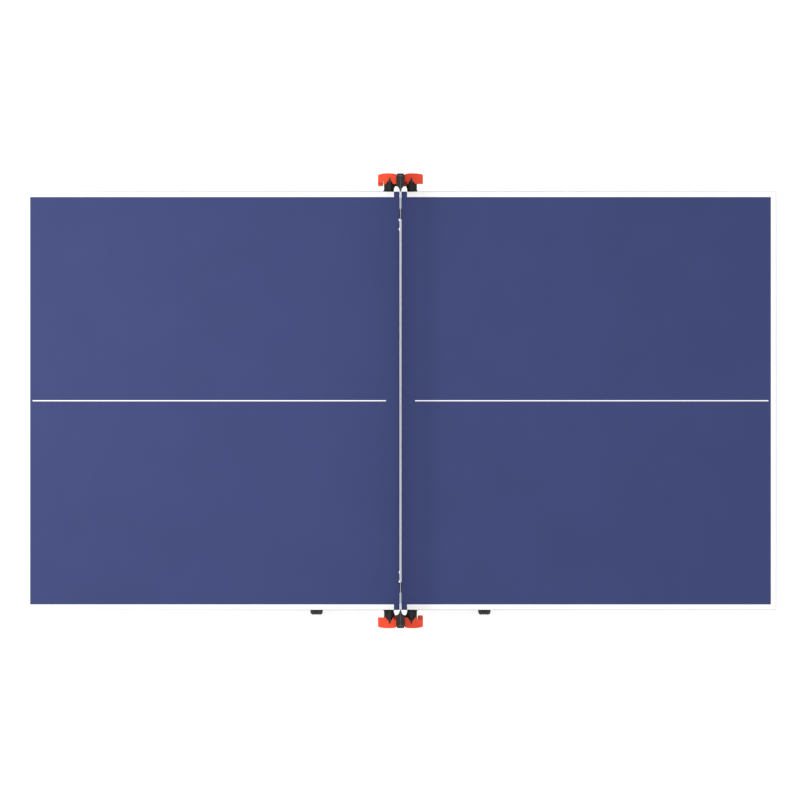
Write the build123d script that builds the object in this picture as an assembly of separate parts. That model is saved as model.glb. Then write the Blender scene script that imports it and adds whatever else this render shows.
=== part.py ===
"""A rollaway ping pong table: two folding halves on a wheeled centre chassis, with the net left up.

Millimetres. X runs along the table, Y across it and Z up. The origin is on the floor at the table's centre.
The playing position is modelled. Each half folds up about a pivot on the chassis, its legs stay upright by
a parallel link bar, and the net posts stand on two columns between the halves.
"""
from build123d import *
import os

os.makedirs("parts", exist_ok=True)

# Driving dimensions: the regulation table and the stock that it is made of.
LENGTH = 2740
WIDTH = 1525
HEIGHT = 760
BOARD = 19
SEAM = 3.3
WALL = 1.5
BASE_WALL = 2
NET_HEIGHT = 152.5
HALF_WIDTH = WIDTH / 2
UNDERSIDE = HEIGHT - BOARD
FIT = 0.05
SLACK = 0.5

# Frame under each board.
RAIL_Y = 625
RAIL_WIDE = 30
RAIL_DEEP = 40
RAIL_BOTTOM = UNDERSIDE - RAIL_DEEP
RAIL_OUTER = RAIL_Y + RAIL_WIDE
CROSS_RAILS_X = (8, 655, 1310)

# Fold pivot and leg pivot, as (x, z).
FOLD = (345, 715)
LEG = (1150, 715)
PIN_R = 6
PIN_LUG = 14
INDEX_STEP = 45
HINGE_THICK = 8
HINGE_OUTER = RAIL_OUTER + HINGE_THICK

# Legs and the link bars that keep them upright.
LEG_Y = 665
TUBE = 30
FOOT_X = 1220
LEG_BOTTOM = 26
LINK_OFFSET = (60, -80)
LINK_Y = 712
LINK_THICK = 8
LINK_WIDE = 22
LINK_PIN_R = 5
CRANK_THICK = 5
CROSSBAR_Z = 140

# Chassis.
BASE_Y = 665
BASE = 40
BASE_BOTTOM = 155
BASE_TOP = BASE_BOTTOM + BASE
BASE_HALF = 360
BASE_MID_Y = BASE_Y + BASE / 2
UPRIGHT_R = 20
CROSS_TUBE_X = 320

# Castors, as trailing wheels under the base tubes.
CASTOR_X = 308
TRAIL = 38
WHEEL_R = 62.5
WHEEL_HALF = 23
PLATE_BOTTOM = BASE_BOTTOM - 9
CROWN_TOP = PLATE_BOTTOM - SLACK
CROWN_THICK = 8
FORK_GAP = WHEEL_HALF + 1.5
FORK_THICK = 4
STEM_R = 8
STEM_TOP = 152.5
AXLE_R = 5
HUB_R = 42
PEDAL_Y = 24
PEDAL_Z = 126

# Net, its posts and the columns under them.
COLUMN_R = 12.5
COLUMN_X = 40
POST_MID_Y = 805
HEAD_BOTTOM = 676
HEAD_TOP = 682
POST_HALF = 13
POST_Y = (782.5, 827.5)
POST_TOP = 908
NOSE_Y = HALF_WIDTH + SLACK
NET_TOP = HEIGHT + NET_HEIGHT
TAPE_DEEP = 15
MESH_HALF = 1
CORD_R = 0.8
TAPE_HALF = 1.4
TAPE_DOUBLED_HALF = 3.5
CORD_Z = NET_TOP - TAPE_DEEP / 2

# Playing-position locks beside the net posts.
LOCK_X = 40
LOCK_Z = 722
BOLT_R = 6
HOUSING_X = (24, 62)
HOUSING_Y = (763.5, 794.5)
HOUSING_TOP = 738
HANDLE_X = (14.5, 82)
HANDLE_Y = (790, 829.5)
HANDLE_Z = (690, 745)
HANDLE_BACK = 824.5
HANDLE_WALL = 4
LOW_ARM_Y = (782.5, 799)
LOW_ARM_TOP = 722
STRIKE_Y = (757, 761)

# Storage plungers in the uprights.
PLUNGER_R = 5
PLUNGER_Z = FOLD[1] - INDEX_STEP

FOOT_R = 22
FOOT_STEM_R = 5


def block(x0, x1, y0, y1, z0, z1):
    """A box between two opposite corners."""
    size = Box(x1 - x0, y1 - y0, z1 - z0)
    return Pos((x0 + x1) / 2, (y0 + y1) / 2, (z0 + z1) / 2) * size


def closed_tube(x0, x1, y0, y1, z0, z1, wall=WALL, edge=3):
    """A straight square tube with rounded long edges and closed ends, hollow inside."""
    outer = block(x0, x1, y0, y1, z0, z1)
    spans = {Axis.X: x1 - x0, Axis.Y: y1 - y0, Axis.Z: z1 - z0}
    along = max(spans, key=spans.get)
    outer = fillet(outer.edges().filter_by(along), edge)
    inner = block(x0 + wall, x1 - wall, y0 + wall, y1 - wall, z0 + wall, z1 - wall)
    return outer - inner


def side_plate(face, y0, y1):
    """A flat plate whose face is drawn as (x, z) and which fills the width from y0 to y1."""
    plane = Plane(origin=(0, y1, 0), x_dir=(1, 0, 0), z_dir=(0, -1, 0))
    return extrude(plane * face, y1 - y0)


def disc(centre, radius):
    """A flat disc about a point of the (x, z) plane."""
    return Pos(*centre) * Circle(radius)


def hull(*faces):
    """The tight flat outline round several faces."""
    edges = []
    for face in faces:
        edges += face.edges()
    return make_hull(edges)


def pin_y(centre, radius, y0, y1):
    """A round pin along Y through the (x, z) point."""
    return side_plate(disc(centre, radius), y0, y1)


def pin_x(radius, y, z, x0, x1):
    """A round pin along X."""
    return Pos((x0 + x1) / 2, y, z) * Rot(0, 90, 0) * Cylinder(radius, x1 - x0)


def post_z(radius, x, y, z0, z1):
    """A round pin along Z."""
    return Pos(x, y, (z0 + z1) / 2) * Cylinder(radius, z1 - z0)


def shifted(point, offset):
    """A point of the (x, z) plane moved by an offset."""
    return (point[0] + offset[0], point[1] + offset[1])


def both_y(shape):
    """A shape and its mirror image on the other long side."""
    return [shape, mirror(shape, Plane.XZ)]


def both_x(shapes):
    """Shapes and their mirror images on the other half."""
    return list(shapes) + [mirror(shape, Plane.YZ) for shape in shapes]


def save(name, shapes):
    """Write one node, keeping its solids separate."""
    solids = shapes if isinstance(shapes, list) else [shapes]
    shape = solids[0] if len(solids) == 1 else Compound(children=solids)
    export_step(shape, f"parts/{name}.step")


def save_half(name, side, shapes):
    """Write one node of the right half, or its mirror image for the left half."""
    if side == "left":
        shapes = [mirror(shape, Plane.YZ) for shape in shapes]
    save(f"{name}_{side}", shapes)


# Each half: board, frame, hinge plates and strike plates.

def board():
    """The playing board of one half, with softened edges."""
    panel = block(SEAM, LENGTH / 2, -HALF_WIDTH, HALF_WIDTH, UNDERSIDE, HEIGHT)
    return [chamfer(panel.edges(), 0.8)]


def side_rails():
    """The two long tubes under one board."""
    end = CROSS_RAILS_X[-1] + RAIL_WIDE
    rail = closed_tube(CROSS_RAILS_X[0], end, RAIL_Y, RAIL_OUTER, RAIL_BOTTOM, UNDERSIDE)
    return both_y(rail)


def cross_rails():
    """The tubes across one board, between the side rails."""
    rails = []
    for x in CROSS_RAILS_X:
        rails.append(closed_tube(x, x + RAIL_WIDE, -RAIL_Y, RAIL_Y, RAIL_BOTTOM, UNDERSIDE))
    return rails


def hinge_plates():
    """The fold plates, bored for the pivot and two index holes, and the leg plates."""
    low = shifted(FOLD, (0, -INDEX_STEP))
    inner = shifted(FOLD, (-INDEX_STEP, 0))
    fold = hull(disc(FOLD, PIN_LUG), disc(low, PIN_LUG), disc(inner, PIN_LUG))
    fold = fold - disc(FOLD, PIN_R + FIT) - disc(low, PLUNGER_R + SLACK) - disc(inner, PLUNGER_R + SLACK)
    mid_z = (RAIL_BOTTOM + UNDERSIDE) / 2 - 1
    leg = Pos(LEG[0], mid_z) * RectangleRounded(70, RAIL_DEEP - 4, 6) - disc(LEG, PIN_R + FIT)
    plates = both_y(side_plate(fold, RAIL_OUTER, HINGE_OUTER))
    return plates + both_y(side_plate(leg, RAIL_OUTER, HINGE_OUTER))


def strike_plates():
    """The small plates under the board's edge that the lock bolts enter."""
    plate = block(LOCK_X - 15, LOCK_X + 15, *STRIKE_Y, LOCK_Z - 17, UNDERSIDE)
    plate = plate - pin_y((LOCK_X, LOCK_Z), BOLT_R + SLACK, STRIKE_Y[0] - 1, STRIKE_Y[1] + 1)
    return both_y(plate)


# Legs, feet and link bars.

def leg_tube():
    """One slanted leg with its pivot pin, crank plate and crank pin as separate solids."""
    foot = Pos(FOOT_X, LEG_BOTTOM + 4) * Rectangle(TUBE, 8)
    outline = hull(disc(LEG, TUBE / 2), foot)
    tube = side_plate(outline, LEG_Y, LEG_Y + TUBE)
    rise = LEG[1] - LEG_BOTTOM
    lean = (FOOT_X - LEG[0]) / rise
    inner_r = TUBE / 2 - WALL
    top = (LEG[0] + lean * 60, LEG[1] - 60)
    low = (LEG[0] + lean * (rise - 90), LEG_BOTTOM + 90)
    hollow = side_plate(hull(disc(top, inner_r), disc(low, inner_r)), LEG_Y + WALL, LEG_Y + TUBE - WALL)
    foot_bore = post_z(FOOT_STEM_R + FIT, FOOT_X, LEG_Y + TUBE / 2, LEG_BOTTOM - 1, LEG_BOTTOM + 50)
    tube = tube - hollow - foot_bore - pin_y(LEG, PIN_R, LEG_Y - 1, LEG_Y + TUBE + 1)
    pin = pin_y(LEG, PIN_R, RAIL_OUTER + SLACK, LEG_Y + TUBE)
    crank_end = shifted(LEG, LINK_OFFSET)
    plate_y = LEG_Y + TUBE
    crank = hull(disc(LEG, TUBE / 2), disc(crank_end, 12)) - disc(crank_end, LINK_PIN_R)
    crank = side_plate(crank, plate_y, plate_y + CRANK_THICK)
    crank_pin = pin_y(crank_end, LINK_PIN_R, plate_y, LINK_Y + LINK_THICK + SLACK)
    head_y = LINK_Y + LINK_THICK + SLACK
    crank_pin = crank_pin + pin_y(crank_end, LINK_PIN_R + 3, head_y, head_y + 3)
    return [tube, pin, crank, crank_pin]


def leg_pair():
    """The two legs of one half."""
    return [solid for piece in leg_tube() for solid in both_y(piece)]


def leg_crossbar():
    """The tube that joins the two legs of one half."""
    lean = (FOOT_X - LEG[0]) / (LEG[1] - LEG_BOTTOM)
    x = LEG[0] + lean * (LEG[1] - CROSSBAR_Z)
    half = TUBE / 2
    low, high = CROSSBAR_Z - half, CROSSBAR_Z + half
    return [closed_tube(x - half, x + half, -LEG_Y, LEG_Y, low, high)]


def levelling_foot():
    """One screw foot: pad, waist and stem in one moulding."""
    y = LEG_Y + TUBE / 2
    pad = fillet(post_z(FOOT_R, FOOT_X, y, 0, 12).edges().group_by(Axis.Z)[-1], 4)
    nut = post_z(9, FOOT_X, y, 12, 20)
    stem = post_z(FOOT_STEM_R, FOOT_X, y, 20, LEG_BOTTOM + 34)
    return pad + nut + stem


def link_bars():
    """The two bars from the chassis to the leg cranks."""
    start = shifted(FOLD, LINK_OFFSET)
    end = shifted(LEG, LINK_OFFSET)
    bar = hull(disc(start, LINK_WIDE / 2), disc(end, LINK_WIDE / 2))
    bar = bar - disc(start, LINK_PIN_R + FIT) - disc(end, LINK_PIN_R + SLACK)
    return both_y(side_plate(bar, LINK_Y, LINK_Y + LINK_THICK))


# Chassis.

def base_tubes():
    """The two long tubes that the uprights stand on."""
    tube = closed_tube(-BASE_HALF, BASE_HALF, BASE_Y, BASE_Y + BASE, BASE_BOTTOM, BASE_TOP, BASE_WALL)
    return both_y(tube)


def tube_end_caps():
    """Plastic plugs on the base tubes' ends."""
    cap = block(BASE_HALF, BASE_HALF + 4, BASE_Y, BASE_Y + BASE, BASE_BOTTOM, BASE_TOP)
    cap = fillet(cap.edges().group_by(Axis.X)[-1], 2)
    return both_x(both_y(cap))


def cross_tubes():
    """The two tubes that tie the base tubes together."""
    x0, x1 = CROSS_TUBE_X - BASE / 2, CROSS_TUBE_X + BASE / 2
    tube = closed_tube(x0, x1, -BASE_Y, BASE_Y, BASE_BOTTOM, BASE_TOP, BASE_WALL)
    return both_x([tube])


def uprights():
    """The four posts that carry the fold pivots, bored for the pivot pin and the plunger."""
    half = TUBE / 2
    stem = Pos(FOLD[0], (BASE_TOP + FOLD[1]) / 2) * Rectangle(TUBE, FOLD[1] - BASE_TOP)
    post = side_plate(stem + disc(FOLD, UPRIGHT_R), BASE_Y, BASE_Y + BASE)
    inner_x = half - WALL
    hollow = block(FOLD[0] - inner_x, FOLD[0] + inner_x, BASE_Y + WALL, BASE_Y + BASE - WALL,
                   BASE_TOP + WALL, PLUNGER_Z - 30)
    post = post - hollow - pin_y(FOLD, PIN_R, BASE_Y - 1, BASE_Y + BASE + 1)
    plain = mirror(post, Plane.XZ)
    index = (FOLD[0], PLUNGER_Z)
    bored = plain - pin_y(index, PLUNGER_R + FIT, -BASE_Y - BASE - 1, -BASE_Y + 1)
    return both_x([post, bored])


def link_plates():
    """The arms on the uprights that hold the link bars' inner pins."""
    start = shifted(FOLD, LINK_OFFSET)
    root = Pos(FOLD[0], start[1] - 10) * Rectangle(TUBE, 44)
    arm = hull(disc(start, 12), root) - disc(start, LINK_PIN_R)
    return both_x(both_y(side_plate(arm, BASE_Y + BASE, BASE_Y + BASE + 5)))


def pivot_pins():
    """The fold pins and the link bars' inner pins, each with a head."""
    outer = BASE_Y + BASE
    fold = pin_y(FOLD, PIN_R, RAIL_OUTER + SLACK, outer) + pin_y(FOLD, PIN_R + 3, outer, outer + 4)
    start = shifted(FOLD, LINK_OFFSET)
    head = LINK_Y + LINK_THICK + SLACK
    link = pin_y(start, LINK_PIN_R, outer, head) + pin_y(start, LINK_PIN_R + 3, head, head + 3)
    return both_x(both_y(fold) + both_y(link))


def centre_columns():
    """The four cranked tubes at the middle that carry the net posts out past the boards."""
    corners = ((BASE_MID_Y, BASE_TOP), (BASE_MID_Y, 330), (POST_MID_Y, 480), (POST_MID_Y, HEAD_BOTTOM))
    points = [(COLUMN_X, y, z) for y, z in corners]
    path = FilletPolyline(*points, radius=60)
    start = Plane(origin=points[0], z_dir=(0, 0, 1))
    column = sweep(start * Circle(COLUMN_R), path=path)
    bore = sweep(start * Circle(COLUMN_R - 2), path=path)
    foot = post_z(COLUMN_R + 5, COLUMN_X, BASE_MID_Y, BASE_TOP, BASE_TOP + 4)
    collar = post_z(COLUMN_R + 3, COLUMN_X, POST_MID_Y, HEAD_BOTTOM - 4, HEAD_BOTTOM)
    return both_x(both_y(column - bore + foot + collar))


def head_plates():
    """The flat plates on the columns, notched so that the gaps beside the post's nose stay open."""
    front, back, half = 782, 824, 60
    plate = block(-half, half, front, back, HEAD_BOTTOM, HEAD_TOP)
    plate = fillet(plate.edges().filter_by(Axis.Z).group_by(Axis.Y)[-1], 5)
    ear = Polygon((HOUSING_X[0] + 1.5, HOUSING_Y[0] + 2), (half, HOUSING_Y[0] + 2), (half, front + 4),
                  (HOUSING_X[0] - 5, front + 4), align=None)
    ear = Pos(0, 0, HEAD_BOTTOM) * extrude(ear, HEAD_TOP - HEAD_BOTTOM)
    return both_y(plate + ear + mirror(ear, Plane.YZ))


# Net and its fittings.

def net_post():
    """A net post with a pointed nose towards the board and a cord groove along its top."""
    nose = Polyline((POST_HALF, POST_Y[0]), (6, 776), (2.5, 766), (1.5, NOSE_Y),
                    (-1.5, NOSE_Y), (-2.5, 766), (-6, 776), (-POST_HALF, POST_Y[0]))
    back = Polyline((-POST_HALF, POST_Y[0]), (-POST_HALF, POST_Y[1]), (POST_HALF, POST_Y[1]),
                    (POST_HALF, POST_Y[0]))
    post = Pos(0, 0, HEAD_TOP) * extrude(make_face(nose.edges() + back.edges()), POST_TOP - HEAD_TOP)
    rear = post.edges().filter_by(Axis.Z).group_by(Axis.Y)[-1]
    post = fillet(rear, 3)
    inner = block(-POST_HALF + 3, POST_HALF - 3, POST_Y[0] + 3, POST_Y[1] - 3, HEAD_TOP + 3, POST_TOP - 30)
    groove = block(-1.3, 1.3, NOSE_Y - 1, POST_Y[1] - 8, CORD_Z - CORD_R - 0.3, POST_TOP + 1)
    return post - inner - groove


def net_cord():
    """The straight cord that carries the net from post to post."""
    return pin_y((0, CORD_Z), CORD_R, 9 - POST_Y[1], POST_Y[1] - 9)


def net_tape():
    """The band along the net's top, bored for the cord and doubled near its ends."""
    half = HALF_WIDTH - 1
    band = block(-TAPE_HALF, TAPE_HALF, -half, half, NET_TOP - TAPE_DEEP, NET_TOP)
    band = fillet(band.edges().filter_by(Axis.Y), TAPE_HALF - 0.4)
    thick = TAPE_DOUBLED_HALF
    for doubled in both_y(block(-thick, thick, 698, 738, NET_TOP - TAPE_DEEP, NET_TOP)):
        band = band + doubled
    return band - pin_y((0, CORD_Z), CORD_R + FIT, -half - 1, half + 1)


def net_fabric():
    """The mesh of the net as one thin sheet from just above the boards to the tape."""
    half = HALF_WIDTH - 3
    return block(-MESH_HALF, MESH_HALF, -half, half, HEIGHT + 2, NET_TOP - TAPE_DEEP)


def net_clips():
    """The small tensioning clips on one face of the tape, two near each end."""
    clips = []
    for y in (624, 658):
        clip = block(-6, -TAPE_HALF, y - 4, y + 4, NET_TOP - TAPE_DEEP - 3, NET_TOP - 2)
        clips += both_y(fillet(clip.edges().group_by(Axis.X)[0], 1))
    return clips


# Locks beside the posts.

def lock_housings():
    """The guide blocks, and the tapered finger that each handle slides under."""
    bore = pin_y((LOCK_X, LOCK_Z), BOLT_R + FIT, HOUSING_Y[0] - 1, HOUSING_Y[1] + 1)
    (x0, x1), (y0, y1) = HOUSING_X, HOUSING_Y
    flange = y0 + 3.5
    outline = Polygon((x0, y0), (x1, y0), (x1, flange), (x1 - 2.5, flange + 1.5), (x1 - 4, y1),
                      (x0 + 3, y1), (x0 + 1.5, flange + 1.5), (x0, flange), align=None)
    body = Pos(0, 0, HEAD_TOP) * extrude(outline, HOUSING_TOP - HEAD_TOP)
    body = chamfer(body.edges().group_by(Axis.Z)[-1], 1.5) - bore
    web = block(LOCK_X - 6, LOCK_X + 6, HOUSING_Y[0] + 3, 785, HOUSING_TOP, HANDLE_Z[1] + 1)
    finger = Polygon((LOCK_X - 6, HOUSING_Y[0] + 3), (LOCK_X + 6, HOUSING_Y[0] + 3), (LOCK_X + 5, 795),
                     (LOCK_X + 1.5, 812), (LOCK_X - 1.5, 812), (LOCK_X - 5, 795), align=None)
    finger = Pos(0, 0, HANDLE_Z[1] + 1) * extrude(finger, 3)
    return both_x(both_y(body) + both_y(web + finger))


def lock_handle(low_inner):
    """A hooded pull, open below and notched round the guide's finger, with a low arm at one end."""
    (x0, x1), (front, crest), (z0, z1) = HANDLE_X, HANDLE_Y, HANDLE_Z
    wall = HANDLE_WALL
    back = ThreePointArc((x0, crest - 3), ((x0 + x1) / 2, crest), (x1, HANDLE_BACK))
    rest = Polyline((x1, HANDLE_BACK), (x1, front), (x0, front), (x0, crest - 3))
    shell = Pos(0, 0, z0) * extrude(make_face(back.edges() + rest.edges()), z1 - z0)
    corners = shell.edges().filter_by(Axis.Z).group_by(Axis.Y)
    shell = fillet(corners[-1] + corners[-2], 5)
    shell = fillet(shell.faces().sort_by(Axis.Z)[-1].edges(), 1.5)
    cavity = block(x0 + wall, x1 - wall, front - 1, HANDLE_BACK - wall, z0 - 1, z1 - wall)
    notch = Polygon((LOCK_X - 14, front - 1), (LOCK_X + 14, front - 1), (LOCK_X + 7, front + 11),
                    (LOCK_X - 7, front + 11), align=None)
    notch = Pos(0, 0, z1 - wall - 1) * extrude(notch, wall + 2)
    arm_x = (x0, HOUSING_X[0] - 1) if low_inner else (HOUSING_X[1] + 1, x1)
    step = block(arm_x[0] - 1, arm_x[1] + 1, front - 1, LOW_ARM_Y[1], LOW_ARM_TOP, z1 + 1)
    arm = block(*arm_x, *LOW_ARM_Y, z0, LOW_ARM_TOP)
    arm = fillet(arm.edges().filter_by(Axis.Z).group_by(Axis.Y)[0], 3)
    return shell - cavity - notch - step + arm


def lock_bolt():
    """The sliding bolt, chamfered at its tip and fixed to the handle's back wall."""
    bolt = pin_y((LOCK_X, LOCK_Z), BOLT_R, HOUSING_Y[0] + SLACK, HANDLE_BACK - HANDLE_WALL)
    return chamfer(bolt.edges().group_by(Axis.Y)[0], 1.5)


def storage_plunger():
    """A pull plunger with a round knob, on the near side of the right upright."""
    centre = (FOLD[0], PLUNGER_Z)
    stem = pin_y(centre, PLUNGER_R, LEG_Y - 1, BASE_Y + BASE + 14)
    knob = pin_y(centre, PLUNGER_R + 8, BASE_Y + BASE + 11, BASE_Y + BASE + 33)
    knob = fillet(knob.edges().group_by(Axis.Y)[-1], 3)
    return mirror(stem + knob, Plane.XZ)


# Castors. The corner is given as signs of x and y; the wheels all trail towards -Y.

def castor_plates():
    """The four plates under the base tubes, bored for the swivel stems."""
    plate = block(CASTOR_X - 50, CASTOR_X + 50, BASE_Y, BASE_Y + BASE, PLATE_BOTTOM, BASE_BOTTOM)
    plate = fillet(plate.edges().filter_by(Axis.Z), 4)
    plate = plate - post_z(STEM_R + FIT, CASTOR_X, BASE_MID_Y, PLATE_BOTTOM - 1, STEM_TOP + SLACK)
    return both_x(both_y(plate))


def castor_bolts():
    """The hexagon bolt heads under the castor plates."""
    heads = []
    for x in (CASTOR_X - 42, CASTOR_X + 42):
        for y in (BASE_MID_Y - 10, BASE_MID_Y + 10):
            heads += both_y(Pos(x, y, PLATE_BOTTOM - 4) * extrude(RegularPolygon(5, 6), 4))
    return both_x(heads)


def fork_plate(centre_y, braked):
    """The (y, z) outline of one fork cheek, with an ear for the pedal pin if braked."""
    crown = Pos(centre_y, CROWN_TOP - CROWN_THICK - 3) * Rectangle(40, 6)
    cheek = hull(Pos(centre_y - TRAIL, WHEEL_R) * Circle(12), crown)
    if braked:
        cheek = cheek + hull(Pos(centre_y + PEDAL_Y, PEDAL_Z) * Circle(7), crown)
    return cheek


def end_plate(face, x0, x1):
    """A flat plate whose face is drawn as (y, z) and which fills the length from x0 to x1."""
    plane = Plane(origin=(x0, 0, 0), x_dir=(0, 1, 0), z_dir=(1, 0, 0))
    return extrude(plane * face, x1 - x0)


def castor_fork(centre_y, braked):
    """The fork with its stem, the axle and, on a braked castor, the pedal's pin."""
    half = FORK_GAP + FORK_THICK
    crown = block(-half, half, centre_y - 20, centre_y + 20, CROWN_TOP - CROWN_THICK, CROWN_TOP)
    fork = crown + post_z(STEM_R, 0, centre_y, CROWN_TOP - 1, STEM_TOP)
    cheek = fork_plate(centre_y, braked)
    for x0 in (-half, FORK_GAP):
        fork = fork + end_plate(cheek, x0, x0 + FORK_THICK)
    axle_y = centre_y - TRAIL
    fork = fork - pin_x(AXLE_R, axle_y, WHEEL_R, -half - 1, half + 1)
    axle = pin_x(AXLE_R, axle_y, WHEEL_R, -half, half)
    for x0 in (-half - 4, half):
        axle = axle + pin_x(AXLE_R + 3, axle_y, WHEEL_R, x0, x0 + 4)
    pieces = [fork, axle]
    if braked:
        hinge = pin_x(3, centre_y + PEDAL_Y, PEDAL_Z, -half, half)
        pieces[0] = fork - hinge
        pieces.append(hinge)
    return pieces


def castor_hub(centre_y):
    """The wheel's plastic centre, dished on both faces and bored for the axle."""
    axle_y = centre_y - TRAIL
    hub = pin_x(HUB_R, axle_y, WHEEL_R, 4 - WHEEL_HALF, WHEEL_HALF - 4)
    for x0 in (3 - WHEEL_HALF, WHEEL_HALF - 11):
        ring = pin_x(HUB_R - 6, axle_y, WHEEL_R, x0, x0 + 8) - pin_x(14, axle_y, WHEEL_R, x0, x0 + 8)
        hub = hub - ring
    hub = hub + pin_x(12, axle_y, WHEEL_R, 1 - WHEEL_HALF, WHEEL_HALF - 1)
    return hub - pin_x(AXLE_R + FIT, axle_y, WHEEL_R, -WHEEL_HALF, WHEEL_HALF)


def castor_tyre(centre_y):
    """The rubber tread, rounded at its shoulders."""
    axle_y = centre_y - TRAIL
    tyre = pin_x(WHEEL_R, axle_y, WHEEL_R, -WHEEL_HALF, WHEEL_HALF)
    tyre = fillet(tyre.edges(), 10)
    return tyre - pin_x(HUB_R, axle_y, WHEEL_R, -WHEEL_HALF, WHEEL_HALF)


def brake_pedal(centre_y):
    """A toe pedal on a barrel, with a short lug down towards the tread."""
    hinge = (centre_y + PEDAL_Y, PEDAL_Z)
    barrel = Pos(*hinge) * Circle(6)
    toe = hull(Pos(hinge[0], hinge[1] + 3) * Circle(3), Pos(hinge[0] + 36, hinge[1] + 4) * Circle(3))
    lug = hull(Pos(hinge[0], hinge[1]) * Circle(4), Pos(hinge[0] - 9, hinge[1] - 19) * Circle(2.5))
    outline = barrel + toe + lug - Pos(*hinge) * Circle(3 + FIT)
    return end_plate(outline, -20, 20)


for side in ("right", "left"):
    save_half("board", side, board())
    save_half("side_rails", side, side_rails())
    save_half("cross_rails", side, cross_rails())
    save_half("hinge_plates", side, hinge_plates())
    save_half("strike_plates", side, strike_plates())
    save_half("leg_tubes", side, leg_pair())
    save_half("leg_crossbar", side, leg_crossbar())
    save_half("link_bars", side, link_bars())
    for row, foot in zip(("back", "front"), both_y(levelling_foot())):
        save_half(f"levelling_foot_{row}", side, [foot])
    save_half("lock_handle_back", side, [lock_handle(side == "right")])
    save_half("lock_handle_front", side, [mirror(lock_handle(side == "left"), Plane.XZ)])
    for row, bolt in zip(("back", "front"), both_y(lock_bolt())):
        save_half(f"lock_bolt_{row}", side, [bolt])
    save_half("storage_plunger", side, [storage_plunger()])
    for row, middle in (("back", BASE_MID_Y), ("front", -BASE_MID_Y)):
        braked = row == "back"
        place = Pos(CASTOR_X, 0, 0)
        save_half(f"castor_fork_{row}", side, [place * piece for piece in castor_fork(middle, braked)])
        save_half(f"castor_hub_{row}", side, [place * castor_hub(middle)])
        save_half(f"castor_tyre_{row}", side, [place * castor_tyre(middle)])
    save_half("brake_pedal", side, [Pos(CASTOR_X, 0, 0) * brake_pedal(BASE_MID_Y)])

save("base_tubes", base_tubes())
save("tube_end_caps", tube_end_caps())
save("cross_tubes", cross_tubes())
save("uprights", uprights())
save("link_plates", link_plates())
save("pivot_pins", pivot_pins())
save("centre_columns", centre_columns())
save("head_plates", head_plates())
save("castor_plates", castor_plates())
save("castor_bolts", castor_bolts())
save("lock_housings", lock_housings())
save("net_posts", both_y(net_post()))
save("net_fabric", net_fabric())
save("net_tape", net_tape())
save("net_cord", net_cord())
save("net_clips", net_clips())
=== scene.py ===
import math
import random

import bmesh
import bpy
from mathutils import Matrix, Vector


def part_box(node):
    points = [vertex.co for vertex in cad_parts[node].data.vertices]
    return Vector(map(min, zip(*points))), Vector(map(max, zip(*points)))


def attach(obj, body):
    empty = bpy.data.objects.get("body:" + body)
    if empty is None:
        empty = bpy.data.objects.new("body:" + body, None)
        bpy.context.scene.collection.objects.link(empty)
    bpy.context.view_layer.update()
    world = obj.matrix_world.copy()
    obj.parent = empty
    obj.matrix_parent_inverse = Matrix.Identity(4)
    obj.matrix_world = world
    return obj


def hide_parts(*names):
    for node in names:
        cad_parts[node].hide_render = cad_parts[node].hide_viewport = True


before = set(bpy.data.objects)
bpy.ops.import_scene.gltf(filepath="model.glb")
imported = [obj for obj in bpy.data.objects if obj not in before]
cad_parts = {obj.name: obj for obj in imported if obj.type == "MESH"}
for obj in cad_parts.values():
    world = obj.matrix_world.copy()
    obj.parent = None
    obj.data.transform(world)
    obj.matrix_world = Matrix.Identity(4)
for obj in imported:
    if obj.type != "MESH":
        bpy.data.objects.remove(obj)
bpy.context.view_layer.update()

MM = 0.001
SIDES = {"right": 1, "left": -1}
ROWS = {"back": 1, "front": -1}
LENGTH = 2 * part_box("board_right")[1].x
WIDTH = 2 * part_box("board_right")[1].y
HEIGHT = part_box("board_right")[1].z
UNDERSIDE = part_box("board_right")[0].z
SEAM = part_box("board_right")[0].x
BORDER = 20 * MM
BORDER_START = 24 * MM
CENTRE_LINE = 4 * MM
CENTRE_LINE_ENDS = (53 * MM, LENGTH / 2 - 29 * MM)
MESH_PITCH = 12.5 * MM
STRAND = 1.7 * MM
TAPE_HALF = 0.95 * MM
TAPE_DOUBLED_HALF = 3.2 * MM
DOUBLED_FROM = 698 * MM
DOUBLED_TO = 738 * MM
FOLD_STEPS = 8
RAIL = 30 * MM
MIDDLE_RAIL = 655 * MM
BASE_TUBE = 40 * MM
CROSS_TUBE = (300 * MM, 340 * MM)
UPRIGHT = (330 * MM, 360 * MM)
COLUMN = 40 * MM
COLUMN_BEAD = 17.5 * MM
WHEEL_SEAT = 42 * MM


# Mesh helpers.

def piece(name, bm, materials, body, nodes=(), sharp=35):
    """Turn a bmesh into a piece that rides on a body and stands for the named CAD nodes."""
    bmesh.ops.recalc_face_normals(bm, faces=bm.faces)
    mesh = bpy.data.meshes.new(name)
    bm.to_mesh(mesh)
    bm.free()
    for material in materials:
        mesh.materials.append(material)
    mesh.shade_smooth()
    mesh.set_sharp_from_angle(angle=math.radians(sharp))
    obj = bpy.data.objects.new(name, mesh)
    bpy.context.scene.collection.objects.link(obj)
    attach(obj, body)
    if nodes:
        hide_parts(*nodes)
    return obj


def bridge(bm, low, high, index):
    """Join two rings of vertices, either of which may be a single point."""
    count = max(len(low), len(high))
    for i in range(count):
        j = (i + 1) % count
        corners = [low[i % len(low)], low[j % len(low)], high[j % len(high)], high[i % len(high)]]
        unique = list(dict.fromkeys(corners))
        if len(unique) > 2:
            bm.faces.new(unique).material_index = index


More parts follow.
